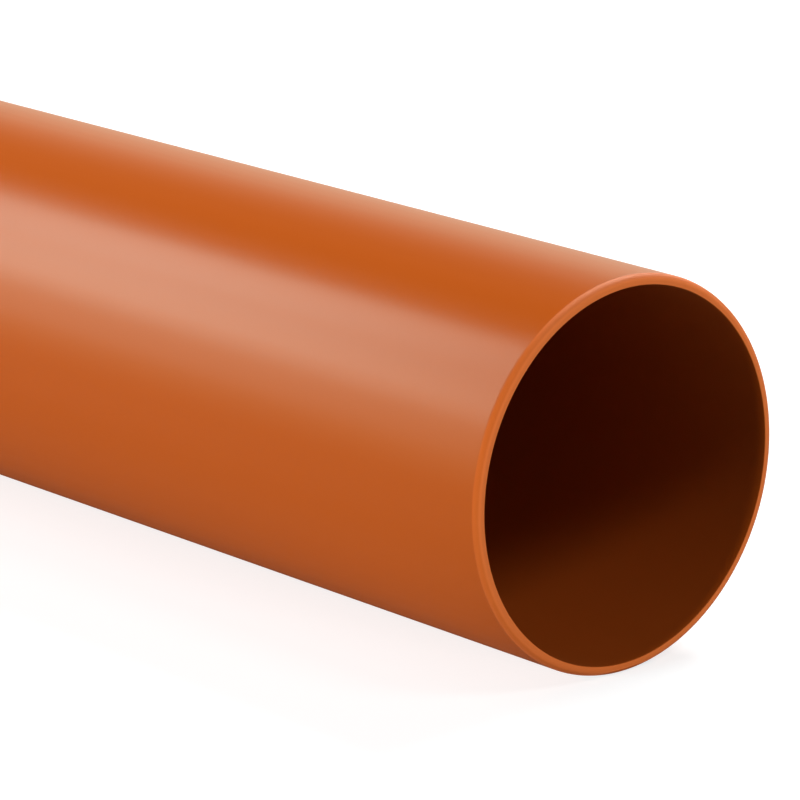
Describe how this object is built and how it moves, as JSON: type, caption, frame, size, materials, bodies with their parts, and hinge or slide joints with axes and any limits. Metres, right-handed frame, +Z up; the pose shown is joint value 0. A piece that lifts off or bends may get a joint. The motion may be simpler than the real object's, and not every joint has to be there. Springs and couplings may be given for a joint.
{
  "type": "pvc sewer pipe",
  "caption": "Plain-ended round sewer pipe of orange-brown unplasticised PVC, lying on its side, with dressed ends that push into sockets and couplers.",
  "frame": {"origin": "on the floor under the middle of the pipe, which lies level on its side", "axes": "+X along the pipe's axis, out of the end that faces the viewer in the picture; +Z up"},
  "size_m": [1, 0.1599, 0.16],
  "materials": {
    "orange_pvc": "satin"
  },
  "bodies": {
    "root": {"pipe": "orange_pvc"}
  },
  "joints": []
}
